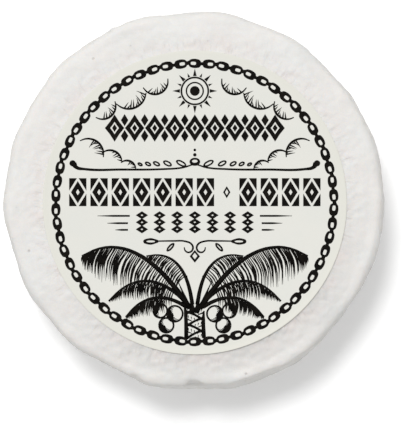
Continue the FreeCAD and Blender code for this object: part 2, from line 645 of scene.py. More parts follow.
def chain_border():
    """Two mirrored links with their necks, set round the label by Spin."""
    step = 2 * math.pi / LINK_PAIRS
    half_pitch = CHAIN_RADIUS * step / 4
    pitch = 2 * half_pitch
    x = -CHAIN_RADIUS
    heavy_neck = [(x, -0.35, 0.7), (x, 0, 0.5), (x, 0.35, 0.7)]
    light_neck = [(x, pitch - 0.3, 0.8), (x, pitch, 0.6), (x, pitch + 0.3, 0.8)]
    pair = [
        filled_shape("lower_link", link(-half_pitch, heavy_up=True), smoothness=3),
        filled_shape("upper_link", link(half_pitch, heavy_up=False), smoothness=3),
        pen_lines("necks", [heavy_neck, light_neck], smoothness=2),
    ]
    chain = join("print_chain", pair)
    spin_copies(chain, LINK_PAIRS)
    return chain


chain = chain_border()
print("the chain has", 2 * LINK_PAIRS, "links and", len(chain.data.polygons), "faces")

# %% [markdown]
# ## The emblem at the top
#
# A plain sun stands at the top of the label: a disc, two thin rings and sixteen rays. One
# long and one short ray are drawn, and Spin sets the pair round the disc eight times.

# %% Draw the sun
SUN_Y = 18.35
RAY_PAIRS = 8
RAY_FOOT = 2.45


def ring_outlines(x, y, outer, inner):
    return [oval(x, y, outer, outer, points=12), oval(x, y, inner, inner, points=12)]


def ray(bearing, length, half_width):
    """A thin triangle that stands on the sun's outer ring."""
    turn = math.radians(bearing)
    corners = []
    for across, up in ((-half_width, RAY_FOOT), (0, RAY_FOOT + length), (half_width, RAY_FOOT)):
        x = across * math.cos(turn) + up * math.sin(turn)
        y = up * math.cos(turn) - across * math.sin(turn)
        corners.append((x, SUN_Y + y))
    return corners


def sun_emblem():
    """A disc and two rings, with a long and a short ray spun round them."""
    long_and_short = [ray(0, 1.25, 0.3), ray(180 / RAY_PAIRS, 0.7, 0.2)]
    rays = filled_shape("rays", long_and_short, kind="VECTOR", smoothness=1)
    spin_copies(rays, RAY_PAIRS, SUN_Y)
    disc = filled_shape("disc", [oval(0, SUN_Y, 0.8, 0.8, points=12)])
    inner_ring = filled_shape("inner_ring", ring_outlines(0, SUN_Y, 1.5, 1.26))
    outer_ring = filled_shape("outer_ring", ring_outlines(0, SUN_Y, 2.35, 2.06))
    return join("print_sun", [rays, disc, inner_ring, outer_ring])


sun = sun_emblem()
print("the sun has", len(sun.data.polygons), "faces")

# %% [markdown]
# ## The three ornament bands
#
# Three bands of plain ornament give the label its weight: a row of open lozenges above, a
# heavy row of harlequin tiles in the middle, and a short row of stacked diamonds below. Each
# motif is drawn once and copied along its band, and each copy has its own mesh.

# %% Repeat a motif along a band
def copy_along(motif, name, shifts):
    """Copies a motif by each shift along X, in millimetres, and joins the copies."""
    copies = [motif]
    for shift in shifts:
        copy = motif.copy()
        copy.data = motif.data.copy()
        bpy.context.scene.collection.objects.link(copy)
        copies.append(copy)
        edit(copy)
        bpy.ops.transform.translate(value=(shift * MM, 0, 0))
        leave_edit()
    return join(name, copies)


def even_shifts(count, pitch):
    """The shifts that carry a motif at the band's left end to all its other places."""
    return [pitch * i for i in range(1, count)]


def lozenge(x, y, half_width, half_height, waist=1.0):
    """A four-pointed shape. A waist under 1 pulls its sides in."""
    pull = 0.5 * waist
    right = [(0, 1), (pull, pull), (1, 0), (pull, -pull)]
    corners = right + [(-across, -up) for across, up in right]
    return [(x + half_width * across, y + half_height * up) for across, up in corners]


def straight_shapes(name, outlines):
    """Filled shapes with straight sides."""
    return filled_shape(name, outlines, kind="VECTOR", smoothness=1)

# %% [markdown]
# The upper band is open and light. A lozenge is three outlines inside each other: the filling
# alternates from one to the next, which leaves a frame with a solid heart. Two small solid
# lozenges fill each gap between two large ones.

# %% The upper band: open lozenges
UPPER_Y = 12.25
UPPER_COUNT = 9
UPPER_PITCH = 3.3


def upper_band():
    """Open lozenges with a solid heart, and two small solid ones above each other between."""
    left = -UPPER_PITCH * (UPPER_COUNT - 1) / 2
    frames = [
        lozenge(left, UPPER_Y, 1.6, 2.25, 0.94),
        lozenge(left, UPPER_Y, 0.72, 1.02, 0.96),
        lozenge(left, UPPER_Y, 0.42, 0.64),
    ]
    motif = straight_shapes("lozenge", frames)
    row = copy_along(motif, "lozenges", even_shifts(UPPER_COUNT, UPPER_PITCH))
    gap = left + UPPER_PITCH / 2
    between = straight_shapes("fillers", [
        lozenge(gap, UPPER_Y + 1.3, 0.62, 1.0),
        lozenge(gap, UPPER_Y - 1.3, 0.62, 1.0),
    ])
    fillers = copy_along(between, "all_fillers", even_shifts(UPPER_COUNT - 1, UPPER_PITCH))
    return join("print_upper_band", [row, fillers])


upper = upper_band()
print("upper band:", size_in_mm(upper), "mm")

# %% [markdown]
# The middle band is the heaviest thing on the label, so its tiles are nearly solid: a black
# diamond and four black corners with a thin groove between them. One tile is drawn, and the
# others are copies. One place stays open, with a small diamond, so that the row has a rest.

# %% The middle band: harlequin tiles
MIDDLE_Y = 1.7
TILE_PITCH = 3.5
TILE_COUNT = 12
EMPTY_TILE = 7
TILE_HALF_WIDTH = 1.42
TILE_HALF_HEIGHT = 2.3
GROOVE = 0.29


def tile(x):
    """A pierced diamond set in four corner triangles, with a narrow groove all round it."""
    wide, high = TILE_HALF_WIDTH, TILE_HALF_HEIGHT
    outlines = [
        lozenge(x, MIDDLE_Y, wide - GROOVE, high - 1.6 * GROOVE),
        lozenge(x, MIDDLE_Y, 0.3, 0.5),
    ]
    for across in (-wide, wide):
        for up in (-high, high):
            inner = math.copysign(0.14, across)
            level = math.copysign(0.24, up)
            outlines.append([
                (x + across, MIDDLE_Y + up),
                (x + inner, MIDDLE_Y + up),
                (x + across, MIDDLE_Y + level),
            ])
    return outlines


def middle_band():
    """A row of tiles, with a small open diamond where one is left out."""
    left = -TILE_PITCH * (TILE_COUNT - 1) / 2
    tile_shifts = [TILE_PITCH * i for i in range(1, TILE_COUNT) if i != EMPTY_TILE]
    tiles = copy_along(straight_shapes("tile", tile(left)), "tiles", tile_shifts)
    rest_x = left + TILE_PITCH * EMPTY_TILE
    rest = straight_shapes("rest", [
        lozenge(rest_x, MIDDLE_Y, 0.6, 1.0),
        lozenge(rest_x, MIDDLE_Y, 0.28, 0.5),
    ])
    return join("print_middle_band", [tiles, rest])


middle = middle_band()
print("middle band:", size_in_mm(middle), "mm")

# %% [markdown]
# The lower band is shorter and lighter. Its columns are drawn like the lozenges above. The
# lines beside it thin out towards the label's edge, which a pen line does by itself: each of
# its points has its own width.

# %% The lower band: stacked diamonds, with tapering lines on each side
LOWER_Y = -3.25
LOWER_COUNT = 7
LOWER_PITCH = 2.9
STACK_PITCH = 1.16

# Each line beside the band: its height, where it starts, and where it ends, all in mm.
SPEED_LINES = [(-2.2, 10.7, 16.0), (-3.4, 11.0, 14.4), (-4.5, 11.0, 13.1)]


def lower_band():
    """Columns of three open diamonds, and three thinning lines at each end."""
    left = -LOWER_PITCH * (LOWER_COUNT - 1) / 2
    outlines = []
    for level in (-1, 0, 1):
        y = LOWER_Y + level * STACK_PITCH
        outlines += [lozenge(left, y, 1.02, 0.66), lozenge(left, y, 0.22, 0.14)]
    column = straight_shapes("column", outlines)
    columns = copy_along(column, "columns", even_shifts(LOWER_COUNT, LOWER_PITCH))
    lines = []
    for y, start, end in SPEED_LINES:
        line = [(start, y, 0.3), ((start + end) / 2, y, 0.32), (end, y, 0.08)]
        lines += [line, mirrored(line)]
    return join("print_lower_band", [columns, pen_lines("lines", lines)])


lower = lower_band()
print("lower band:", size_in_mm(lower), "mm")

# %% [markdown]
# ## The divider and the little scroll
#
# Two flourishes part the bands. The divider is a long line that ends in a ball on each side
# and rises to a knob in its middle, with a row of leaves on it that shrink outwards. The
# scroll hangs below the lower band, with a bud at each end, two hooks and a drop. One half
# of each is drawn, and the other half is the same points mirrored.

# %% Draw the divider
DIVIDER_Y = 5.5

# Each leaf on the divider: its place along X, its half length and half height, in mm.
DIVIDER_LEAVES = [
    (2.25, 0.95, 0.44),
    (4.5, 0.8, 0.42),
    (6.3, 0.66, 0.38),
    (7.7, 0.58, 0.35),
    (9.0, 0.48, 0.3),
]


def divider():
    """A bracket-shaped line with leaves, a knob and dots."""
    y = DIVIDER_Y
    half = [(19.9, y + 0.85, 0.95), (19.5, y + 0.3, 0.6), (18.2, y, 0.42), (12, y - 0.08, 0.36),
            (5, y, 0.32), (2, y + 0.25, 0.3), (0.4, y + 0.72, 0.24)]
    lines = pen_lines("divider_lines", [half, mirrored(half)], smoothness=8)
    balls = filled_shape("balls", [
        oval(-20.1, y + 0.95, 0.52, 0.5),
        oval(20.1, y + 0.95, 0.52, 0.5),
    ])
    shapes = []
    for x, half_length, half_height in DIVIDER_LEAVES:
        for side in (-1, 1):
            centre = (side * x, y + 0.42 + half_height * 1.2)
            shapes.append(oval(*centre, half_length, half_height, side * 27))
            shapes.append(oval(*centre, half_length - 0.32, half_height - 0.27, side * 27))
    leaves = filled_shape("leaves", shapes, smoothness=4)
    knob = filled_shape("knob", [oval(0, y + 1.2, 0.88, 0.66), oval(0, y + 1.3, 0.46, 0.24)])
    dots = filled_shape("dots", [oval(0, y + 2.35, 0.28, 0.28), oval(0, y + 3.15, 0.22, 0.22)])
    return join("print_divider", [lines, balls, leaves, knob, dots])


divider_piece = divider()
print("divider:", size_in_mm(divider_piece), "mm")

# %% [markdown]
# The scroll mixes both tools: its stems are pen lines that swell and thin, and its buds and
# leaves are filled shapes with a hole, so that they look drawn in outline.

# %% Draw the scroll
def scroll():
    """Two mirrored stems with buds, side leaves and hooks, and a drop in the middle."""
    stem = [(6.0, -6.35, 0.24), (3.6, -6.32, 0.28), (1.5, -6.4, 0.3), (0.5, -6.9, 0.32),
            (0.35, -7.7, 0.32), (0.95, -8.2, 0.3), (1.55, -7.95, 0.26), (1.75, -7.35, 0.18)]
    stems = pen_lines("stems", [stem, mirrored(stem)], smoothness=6)
    bud = [(8.5, -6.4), (7.7, -5.9), (6.5, -6.02), (5.95, -6.38), (6.5, -6.75), (7.7, -6.9)]
    shapes = []
    bud_hole = oval(7.25, -6.4, 0.7, 0.16)
    leaf = oval(4.0, -7.35, 0.9, 0.38, -48)
    leaf_hole = oval(4.0, -7.35, 0.5, 0.08, -48)
    for outline in (bud, bud_hole, leaf, leaf_hole):
        shapes += [outline, mirrored(outline)]
    buds = filled_shape("buds", shapes, smoothness=4)
    drop = straight_shapes("drop", [lozenge(0, -8.85, 0.85, 1.05), lozenge(0, -8.8, 0.42, 0.54)])
    return join("print_scroll", [stems, buds, drop])


scroll_piece = scroll()
print("scroll:", size_in_mm(scroll_piece), "mm")

# %% [markdown]
# ## The clouds
#
# Engraved clouds are outlines of round bumps, shaded with short strokes where they turn away
# from the light. Each bump is an arc, given by its middle, its radius and the bearings where
# it starts and ends. Shading strokes start on the arc and point inwards. Two clouds are drawn
# for the left half of the label, and the right half is their mirror image.

# %% Draw two clouds and mirror them
# Each arc: middle x and y, radius, and the bearings of its start and end in degrees.
CLOUD_ARCS = [
    # the upper cloud
    (-6.6, 20.0, 2.2, 10, -150),
    (-10.9, 18.3, 2.9, -5, -135),
    (-15.2, 15.9, 2.2, 20, -120),
    # the lower cloud
    (-17.6, 7.9, 2.6, 120, -10),
    (-14.0, 6.6, 2.0, 130, 0),
    (-11.2, 5.4, 1.5, 130, 5),
]

# Each shading: middle x and y, radius, first and last bearing, number of strokes and their length.
CLOUD_SHADES = [
    (-6.6, 20.0, 2.2, -25, -120, 8, 1.2),
    (-10.9, 18.3, 2.9, -12, -104, 10, 1.6),
    (-15.2, 15.9, 2.2, -4, -84, 7, 1.3),
    (-17.6, 7.9, 2.6, 66, 0, 8, 1.5),
    (-14.0, 6.6, 2.0, 64, 8, 5, 1.1),
    (-11.2, 5.4, 1.5, 64, 16, 4, 0.8),
]


def on_circle(x, y, radius, bearing):
    turn = math.radians(bearing)
    return x + radius * math.cos(turn), y + radius * math.sin(turn)


def cloud_outline(x, y, radius, start, end):
    """One bump: a pen line along an arc, thin at both ends."""
    knots = 7
    line = []
    for i in range(knots):
        share = i / (knots - 1)
        width = 0.18 + 0.2 * math.sin(math.pi * share)
        line.append((*on_circle(x, y, radius, start + (end - start) * share), width))
    return line


def cloud_shading(x, y, radius, first, last, count, length):
    """Short tapering strokes from the arc inwards, each leaning a little along it."""
    lines = []
    lean = math.copysign(14, last - first)
    for i in range(count):
        bearing = first + (last - first) * i / max(count - 1, 1)
        reach = length * (0.7 + 0.3 * math.sin(1.9 * i + x))
        outer = on_circle(x, y, radius, bearing)
        middle = on_circle(x, y, radius - reach * 0.5, bearing - lean * 0.35)
        inner = on_circle(x, y, radius - reach, bearing - lean)
        lines.append([(*outer, 0.28), (*middle, 0.2), (*inner, 0.05)])
    return lines


def clouds():
    """Both clouds of the left half, and their mirror images."""
    strokes = [cloud_outline(*arc) for arc in CLOUD_ARCS]
    for shade in CLOUD_SHADES:
        strokes += cloud_shading(*shade)
    strokes += [mirrored(stroke) for stroke in strokes]
    return pen_lines("print_clouds", strokes, smoothness=4)


cloud_piece = clouds()
print("clouds:", len(cloud_piece.data.polygons), "faces")

# %% [markdown]
# ## The coconut palm
#
# The palm is drawn by rule. Each frond has a rib, which is a smooth curve through three
# points, and leaflets that hang from it and are longest at one place along it. Their lengths
# and directions vary a little, from a seeded random source, so the drawing looks engraved by
# hand and still comes out the same every time. Drawn stroke by stroke it would take hundreds
# of points.

# %% Draw one frond
class Frond:
    """A palm leaf on one side (-1 left, 1 right): its rib, and the way its leaflets hang."""

    def __init__(self, side, root, crest, tip, leaflet, peak, hang, count, rib=0.7, first=0.16):
        def on_side(point):
            return Vector((side * point[0], point[1]))

        self.root, self.tip = on_side(root), on_side(tip)
        self.control = on_side(crest) * 2 - (self.root + self.tip) * 0.5
        self.leaflet, self.peak, self.hang = leaflet, peak, on_side(hang).normalized()
        self.count, self.rib, self.first = count, rib, first

    def place(self, share):
        rest = 1 - share
        return self.root * rest**2 + self.control * 2 * rest * share + self.tip * share**2

    def heading(self, share):
        step = (self.control - self.root) * (1 - share) + (self.tip - self.control) * share
        return step.normalized()

    def swell(self, share):
        """1 where the leaflets are longest, falling away smoothly to both ends."""
        rise = (share / self.peak) ** (1.3 * self.peak)
        fall = ((1 - share) / (1 - self.peak)) ** (1.6 - 1.3 * self.peak)
        return rise * fall

    def rib_line(self):
        """The rib, thick at the root and fine at the tip."""
        knots = 7
        line = []
        for i in range(knots):
            share = i / (knots - 1)
            line.append((*self.place(share), self.rib * (1 - 0.7 * share)))
        return line

    def leaflets(self, rng):
        """The hanging leaflets, as three-point strokes."""
        lines = []
        for i in range(self.count):
            share = self.first + (0.995 - self.first) * (i + 0.3 * rng.random()) / self.count
            length = (self.leaflet * self.swell(share) + 0.3) * rng.uniform(0.86, 1.06)
            way = (self.hang + self.heading(share) * rng.uniform(0.22, 0.38)).normalized()
            bend = (self.hang * 1.5 - way * 0.5).normalized()
            start = self.place(share)
            middle = start + way * length * 0.5
            end = middle + bend * length * 0.5
            lines.append([(*start, 0.16), (*middle, rng.uniform(0.22, 0.34)), (*end, 0.04)])
        return lines

# %% [markdown]
# The crown has four fronds on each side and four young leaves that stand up in the middle.
# Each half uses the same values, but the leaflets take new random numbers every time, so the
# two halves match without being copies, as in a cut by hand.

# %% Draw the crown of fronds
# Each frond of one half: root, crest and tip, the longest leaflet and where it is along the rib,
# the way leaflets hang, how many there are, the rib's width, and where the first one hangs.
FRONDS = [
    ((0.8, -17.4), (9.8, -8.3), (18.6, -8.8), 5.8, 0.68, (0.22, -1), 58, 0.95, 0.18),
    ((0.4, -16.8), (2.9, -10.1), (8.0, -8.8), 3.1, 0.6, (0.5, -1), 22, 0.7, 0.3),
    ((1.2, -16.6), (8.0, -12.9), (14.2, -16.2), 3.0, 0.5, (0.1, -1), 38, 0.7, 0.16),
    ((1.3, -17.2), (6.8, -15.7), (11.4, -18.8), 2.4, 0.6, (0.02, -1), 32, 0.7, 0.3),
]

# The young leaves that stand up in the middle: each one's tip, in mm.
SPEARS = [(-2.9, -12.7), (-1.3, -12.0), (1.3, -12.0), (2.9, -12.7)]


def crown():
    """All fronds with their leaflets, as pen lines."""
    rng = random.Random(7)
    strokes = []
    for side in (-1, 1):
        for values in FRONDS:
            frond = Frond(side, *values)
            strokes.append(frond.rib_line())
            strokes += frond.leaflets(rng)
    for x, y in SPEARS:
        strokes.append([(x * 0.1, -18.2, 0.7), (x * 0.45, -16.2, 0.45), (x, y, 0.1)])
    return pen_lines("crown", strokes, smoothness=3)

# %% [markdown]
# The trunk stands between two heavy lines, and woven bands of slanting strokes cross it, as
# the scars of old leaves do. A coconut is a round outline with arcs inside that crowd towards
# its shaded side. A filled grey would print as dots, so an engraver shades with lines.

# %% Draw the trunk and the coconuts
TRUNK_TOP = -17.2
TRUNK_FOOT = -22.3
TRUNK_MIDDLE = 0
TRUNK_HALF_WIDTH = 1.6
TRUNK_BANDS = 5

# Each coconut of one half: its middle, its radius, and the bearing of its shaded side.
COCONUTS = [
    (3.3, -18.3, 1.3, -20),
    (5.7, -17.8, 1.15, 20),
    (4.7, -20.2, 1.2, -40),
]


def trunk():
    """Two heavy sides, and woven bands of slanting strokes between them."""
    left, right = TRUNK_MIDDLE - TRUNK_HALF_WIDTH, TRUNK_MIDDLE + TRUNK_HALF_WIDTH
    top, foot = TRUNK_TOP, TRUNK_FOOT
    strokes = [
        [(left - 0.15, top + 1.0, 0.25), (left + 0.1, top - 1.2, 0.6), (left + 0.2, foot, 0.7)],
        [(right - 0.1, top - 0.6, 0.25), (right - 0.2, top - 2.0, 0.6), (right - 0.1, foot, 0.7)],
    ]
    step = (top - foot) / TRUNK_BANDS
    for i in range(TRUNK_BANDS):
        y = top - i * step
        way = 1 if i % 2 else -1
        near, far = TRUNK_MIDDLE - way * 1.4, TRUNK_MIDDLE + way * 1.4
        across = [(near, y + 0.3, 0.48), (TRUNK_MIDDLE, y - 0.25, 0.38), (far, y - 1.1, 0.48)]
        strokes.append(across)
        strokes.append([(far, y + 0.1, 0.3), (TRUNK_MIDDLE + way * 0.5, y - 0.25, 0.14)])
        for k in range(4):
            x = TRUNK_MIDDLE - way * (1.1 - 0.5 * k)
            high, low = y - 0.35 - 0.2 * k, y - 0.85 - 0.2 * k
            strokes.append([(x, high, 0.2), (x + way * 0.1, low, 0.05)])
    return pen_lines("trunk", strokes, smoothness=3)


def coconut(x, y, radius, shade):
    """A round outline, and arcs inside it that crowd towards its shaded side."""
    outline = [(*on_circle(x, y, radius, 360 * i / 10), 0.32) for i in range(11)]
    strokes = [outline]
    for ring, half_span in ((0.84, 105), (0.66, 90), (0.48, 75), (0.3, 50)):
        arc = []
        for share, width in ((-1, 0.06), (-0.5, 0.26), (0, 0.32), (0.5, 0.26), (1, 0.06)):
            arc.append((*on_circle(x, y, radius * ring, shade + half_span * share), width))
        strokes.append(arc)
    return strokes


def coconuts():
    """A bunch on each side of the trunk, shaded away from the trunk."""
    bunch = []
    for nut in COCONUTS:
        bunch += coconut(*nut)
    return pen_lines("coconuts", bunch + [mirrored(stroke) for stroke in bunch], smoothness=3)


palm = join("print_palm", [crown(), trunk(), coconuts()])
print("palm:", len(palm.data.polygons), "faces")
print_pieces = [chain, sun, upper, middle, lower, divider_piece, scroll_piece, cloud_piece, palm]

# %% [markdown]
# ## Effects that more than one material uses
#
# Real surfaces are never one flat colour. Four small node groups carry the effects that the
# materials below share. Soft patches are slow changes of tone over several millimetres, fine
# grain is the texture felt with a fingertip, and specks are the few dark crumbs and pores
# that catch dirt. The fourth knows the label: how near a point is to its edge, streaks that
# run out from it, and which side of the soap faces away from the lamps, for painted shade.
# Each group is built once, reads Object coordinates, and takes its sizes in millimetres, so
# its patterns stay fixed to the piece.

# %% Build node groups with named inputs and outputs
def new_group(name, inputs, outputs):
    """An empty node group with float inputs (name: default) and float outputs."""
    tree = bpy.data.node_groups.new(name, "ShaderNodeTree")
    for label, value in inputs.items():
        socket = tree.interface.new_socket(label, in_out="INPUT", socket_type="NodeSocketFloat")
        socket.default_value = value
    for label in outputs:
        tree.interface.new_socket(label, in_out="OUTPUT", socket_type="NodeSocketFloat")
    return tree


def add_node(tree, kind, place, **settings):
    """One node at a place in the editor, with its settings."""
    node = tree.nodes.new(kind)
    node.location = place
    for name, value in settings.items():
        setattr(node, name, value)
    return node


def feed(tree, socket, value):
    """Gives an input a number, or links another node's output to it."""
    if isinstance(value, bpy.types.NodeSocket):
        tree.links.new(value, socket)
    else:
        socket.default_value = value


def maths(tree, place, operation, *values):
    """A Math node. Each of its values is a number or another node's output."""
    node = add_node(tree, "ShaderNodeMath", place, operation=operation)
    for socket, value in zip(node.inputs, values):
        feed(tree, socket, value)
    return node.outputs[0]


def smooth_range(tree, place, value, low, high):
    """A mask that rises smoothly from 0 at low to 1 at high."""
    node = add_node(tree, "ShaderNodeMapRange", place, interpolation_type="SMOOTHSTEP")
    feed(tree, node.inputs["Value"], value)
    feed(tree, node.inputs["From Min"], low)
    feed(tree, node.inputs["From Max"], high)
    return node.outputs[0]


def scaled_position(tree, size_socket, place):
    """Object coordinates divided by a size in millimetres, ready for a texture."""
    x, y = place
    position = add_node(tree, "ShaderNodeTexCoord", (x, y))
    in_mm = add_node(tree, "ShaderNodeVectorMath", (x + 180, y), operation="SCALE")
    in_mm.inputs["Scale"].default_value = 1 / MM
    per_size = maths(tree, (x + 180, y - 160), "DIVIDE", 1, size_socket)
    shrink = add_node(tree, "ShaderNodeVectorMath", (x + 360, y), operation="SCALE")
    tree.links.new(position.outputs["Object"], in_mm.inputs[0])
    tree.links.new(in_mm.outputs[0], shrink.inputs[0])
    tree.links.new(per_size, shrink.inputs["Scale"])
    return shrink.outputs[0]


def set_noise(node, detail, roughness):
    node.inputs["Scale"].default_value = 1
    node.inputs["Detail"].default_value = detail
    node.inputs["Roughness"].default_value = roughness


def patches_group():
    """Slow changes: a mask from 0 to 1 whose patches are Size millimetres across."""
    inputs = {"Size": 6.0, "Shift": 0.0, "Low": 0.4, "High": 0.6}
    tree = new_group("soft_patches", inputs, ["Mask"])
    entry = add_node(tree, "NodeGroupInput", (-900, 0))
    leave = add_node(tree, "NodeGroupOutput", (300, 0))
    place = scaled_position(tree, entry.outputs["Size"], (-700, 200))
    moved = add_node(tree, "ShaderNodeVectorMath", (-160, 200), operation="ADD")
    noise = add_node(tree, "ShaderNodeTexNoise", (0, 200))
    set_noise(noise, detail=2, roughness=0.5)
    tree.links.new(place, moved.inputs[0])
    tree.links.new(entry.outputs["Shift"], moved.inputs[1])
    tree.links.new(moved.outputs[0], noise.inputs["Vector"])
    low, high = entry.outputs["Low"], entry.outputs["High"]
    mask = smooth_range(tree, (160, 200), noise.outputs[0], low, high)
    tree.links.new(mask, leave.inputs["Mask"])
    return tree


def grain_group():
    """Fine texture: a height from 0 to 1, with a finer texture laid over a coarser one."""
    tree = new_group("fine_grain", {"Size": 0.6, "Fine share": 0.35}, ["Height"])
    entry = add_node(tree, "NodeGroupInput", (-900, 0))
    leave = add_node(tree, "NodeGroupOutput", (300, 0))
    place = scaled_position(tree, entry.outputs["Size"], (-700, 200))
    coarse = add_node(tree, "ShaderNodeTexNoise", (-100, 260))
    set_noise(coarse, detail=3, roughness=0.55)
    closer = add_node(tree, "ShaderNodeVectorMath", (-260, 40), operation="SCALE")
    closer.inputs["Scale"].default_value = 4.3
    fine = add_node(tree, "ShaderNodeTexNoise", (-100, 40))
    set_noise(fine, detail=2, roughness=0.6)
    blend = add_node(tree, "ShaderNodeMix", (120, 200), data_type="FLOAT")
    tree.links.new(place, coarse.inputs["Vector"])
    tree.links.new(place, closer.inputs[0])
    tree.links.new(closer.outputs[0], fine.inputs["Vector"])
    tree.links.new(entry.outputs["Fine share"], blend.inputs["Factor"])
    tree.links.new(coarse.outputs[0], blend.inputs["A"])
    tree.links.new(fine.outputs[0], blend.inputs["B"])
    tree.links.new(blend.outputs["Result"], leave.inputs["Height"])
    return tree


def specks_group():
    """Scattered round specks: 1 in a speck and 0 outside, with only some cells holding one."""
    tree = new_group("specks", {"Size": 1.5, "Radius": 0.12, "Share": 0.3}, ["Mask"])
    entry = add_node(tree, "NodeGroupInput", (-900, 0))
    leave = add_node(tree, "NodeGroupOutput", (560, 0))
    place = scaled_position(tree, entry.outputs["Size"], (-700, 200))
    cells = add_node(tree, "ShaderNodeTexVoronoi", (-100, 200))
    cells.inputs["Scale"].default_value = 1
    pick_cell = add_node(tree, "ShaderNodeSeparateColor", (80, 0))
    tree.links.new(place, cells.inputs["Vector"])
    tree.links.new(cells.outputs["Color"], pick_cell.inputs[0])
    distance, radius = cells.outputs["Distance"], entry.outputs["Radius"]
    near = maths(tree, (80, 200), "DIVIDE", distance, radius)
    round_spot = smooth_range(tree, (240, 200), near, 1, 0.4)
    share = entry.outputs["Share"]
    chosen = maths(tree, (240, -60), "LESS_THAN", pick_cell.outputs[0], share)
    mask = maths(tree, (400, 120), "MULTIPLY", round_spot, chosen)
    tree.links.new(mask, leave.inputs["Mask"])
    return tree


# The bearing of the side that faces away from the lamps, which gets painted shade.
PAINTED_SHADE_BEARING = math.radians(288)


def rings_group():
    """How near a point is to the label, radial streaks round it, and the side that gets painted
    shade.
    """
    inputs = {"Start": 25.0, "End": 29.0, "Streak width": 0.5}
    tree = new_group("from_the_label", inputs, ["Nearness", "Streaks", "Painted shade side"])
    entry = add_node(tree, "NodeGroupInput", (-1100, 0))
    leave = add_node(tree, "NodeGroupOutput", (560, 0))
    position = add_node(tree, "ShaderNodeTexCoord", (-1100, 300))
    centred = add_node(tree, "ShaderNodeMapping", (-940, 300), vector_type="TEXTURE")
    centred.inputs["Location"].default_value = (LABEL_X * MM, LABEL_Y * MM, 0)
    centred.inputs["Scale"].default_value = (MM, MM, MM)
    flatten = add_node(tree, "ShaderNodeVectorMath", (-760, 300), operation="MULTIPLY")
    flatten.inputs[1].default_value = (1, 1, 0)
    reach = add_node(tree, "ShaderNodeVectorMath", (-600, 420), operation="LENGTH")
    near = add_node(tree, "ShaderNodeMapRange", (-420, 420), interpolation_type="SMOOTHSTEP")
    near.inputs["To Min"].default_value = 1
    near.inputs["To Max"].default_value = 0
    way = add_node(tree, "ShaderNodeVectorMath", (-600, 180), operation="NORMALIZE")
    streak_width = entry.outputs["Streak width"]
    round_label = maths(tree, (-600, 20), "DIVIDE", LABEL_RADIUS, streak_width)
    on_ring = add_node(tree, "ShaderNodeVectorMath", (-420, 180), operation="SCALE")
    outwards = maths(tree, (-420, 300), "MULTIPLY", reach.outputs["Value"], 0.45)
    upright = add_node(tree, "ShaderNodeCombineXYZ", (-260, 300))
    streak_place = add_node(tree, "ShaderNodeVectorMath", (-100, 180), operation="ADD")
    noise = add_node(tree, "ShaderNodeTexNoise", (60, 180))
    set_noise(noise, detail=3, roughness=0.6)
    tree.links.new(position.outputs["Object"], centred.inputs["Vector"])
    tree.links.new(centred.outputs[0], flatten.inputs[0])
    tree.links.new(flatten.outputs[0], reach.inputs[0])
    tree.links.new(flatten.outputs[0], way.inputs[0])
    tree.links.new(reach.outputs["Value"], near.inputs["Value"])
    tree.links.new(entry.outputs["Start"], near.inputs["From Min"])
    tree.links.new(entry.outputs["End"], near.inputs["From Max"])
    tree.links.new(way.outputs[0], on_ring.inputs[0])
    tree.links.new(round_label, on_ring.inputs["Scale"])
    tree.links.new(outwards, upright.inputs["Z"])
    tree.links.new(on_ring.outputs[0], streak_place.inputs[0])
    tree.links.new(upright.outputs[0], streak_place.inputs[1])
    tree.links.new(streak_place.outputs[0], noise.inputs["Vector"])
    # Which side faces away from the lamps: the soap's colour gets painted shade there.
    facing = add_node(tree, "ShaderNodeVectorMath", (-260, 20), operation="DOT_PRODUCT")
    facing.inputs[1].default_value = (math.cos(PAINTED_SHADE_BEARING), math.sin(PAINTED_SHADE_BEARING), 0)
    tree.links.new(way.outputs[0], facing.inputs[0])
    painted_shade = smooth_range(tree, (-100, 20), facing.outputs["Value"], 0, 0.9)
    tree.links.new(painted_shade, leave.inputs["Painted shade side"])
    tree.links.new(near.outputs[0], leave.inputs["Nearness"])
    tree.links.new(noise.outputs[0], leave.inputs["Streaks"])
    return tree


SOFT_PATCHES = patches_group()
FINE_GRAIN = grain_group()
SPECKS = specks_group()
FROM_LABEL = rings_group()
print("node groups:", [group.name for group in bpy.data.node_groups])

# %% [markdown]
# ## The materials
#
# Each material starts from a Principled BSDF. A few helpers keep the node lists short: one
# places a shared effect, one mixes two colours by a mask, two mix numbers, and one turns a
# height into a bump.

# %% Helpers for materials
def new_material(name):
    """A material with a Principled BSDF, and the parts of it that are used below."""
    material = bpy.data.materials.new(name)
    material.use_nodes = True
    return material, material.node_tree, material.node_tree.nodes["Principled BSDF"]


def effect(tree, group, place, **values):
    """Places a shared effect with its own values. An underscore in a name stands for a space."""
    node = add_node(tree, "ShaderNodeGroup", place, node_tree=group)
    for name, value in values.items():
        node.inputs[name.replace("_", " ")].default_value = value
    return node


def mix_colours(tree, place, mask, first, second, share=1.0):
    """Goes from the first colour to the second by a mask. A colour may be a socket or numbers."""
    node = add_node(tree, "ShaderNodeMix", place, data_type="RGBA")
    for socket, colour in ((node.inputs["A"], first), (node.inputs["B"], second)):
        if isinstance(colour, tuple):
            socket.default_value = (*colour, 1)
        else:
            tree.links.new(colour, socket)
    beside = (place[0] - 160, place[1] - 160)
    strength = maths(tree, beside, "MULTIPLY", mask, share)
    tree.links.new(strength, node.inputs["Factor"])
    return node.outputs["Result"]


def between(tree, place, mask, low, high):
    """A number that goes from low to high as the mask goes from 0 to 1."""
    node = add_node(tree, "ShaderNodeMapRange", place)
    node.inputs["To Min"].default_value = low
    node.inputs["To Max"].default_value = high
    tree.links.new(mask, node.inputs["Value"])
    return node.outputs[0]


def set_roughness(tree, shader, place, mask, low, high):
    """Lets the shader's roughness go from low to high as the mask goes from 0 to 1."""
    tree.links.new(between(tree, place, mask, low, high), shader.inputs["Roughness"])


